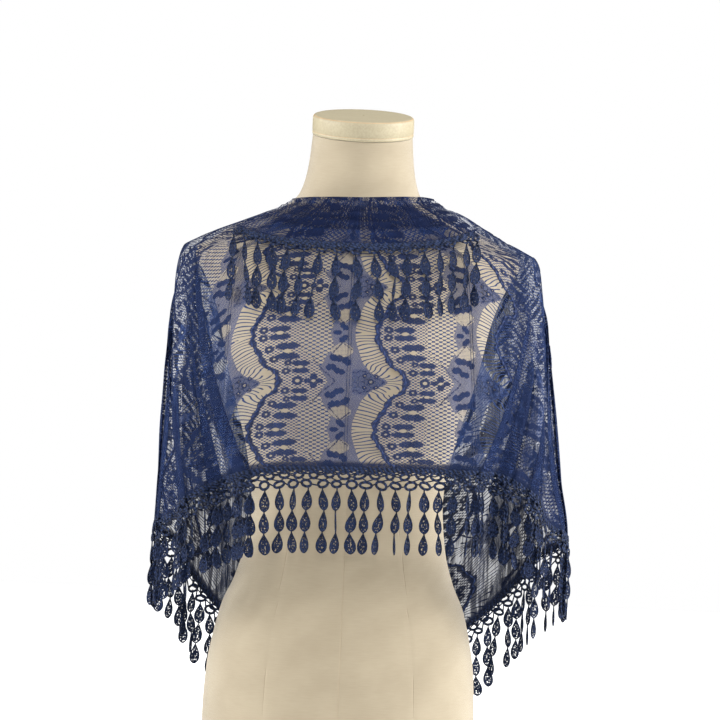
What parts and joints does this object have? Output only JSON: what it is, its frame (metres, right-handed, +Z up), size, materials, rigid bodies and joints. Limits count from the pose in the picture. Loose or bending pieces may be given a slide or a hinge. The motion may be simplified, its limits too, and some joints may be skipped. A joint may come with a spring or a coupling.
{
  "type": "lace shawl on dress form",
  "caption": "Oblong lace shawl with ring and teardrop fringe, draped over the shoulders of a limbless dress form that stands on its flat bottom board.",
  "frame": {"origin": "middle of the bottom board's underside, on the dress form's upright axis", "axes": "+Z up, -Y is the wearer's front, +X is the wearer's left, which is the right of the picture"},
  "size_m": [0.4902, 0.3015, 0.7736],
  "materials": {
    "lace": "matte openwork lace",
    "trim": "crocheted braid with a slight sheen",
    "form_cover": "matte linen cover",
    "cap": "satin",
    "board": "satin"
  },
  "bodies": {
    "root": {"shawl_front": "lace", "shawl_side_left": "lace", "shawl_side_right": "lace", "shawl_back_left": "lace", "shawl_back_right": "lace", "collar_fold": "lace", "trim_front": "trim", "trim_side_left": "trim", "trim_side_right": "trim", "trim_back_left": "trim", "trim_back_right": "trim", "trim_collar": "trim", "dress_form": "form_cover", "neck_cap": "cap", "form_base": "board"}
  },
  "joints": []
}
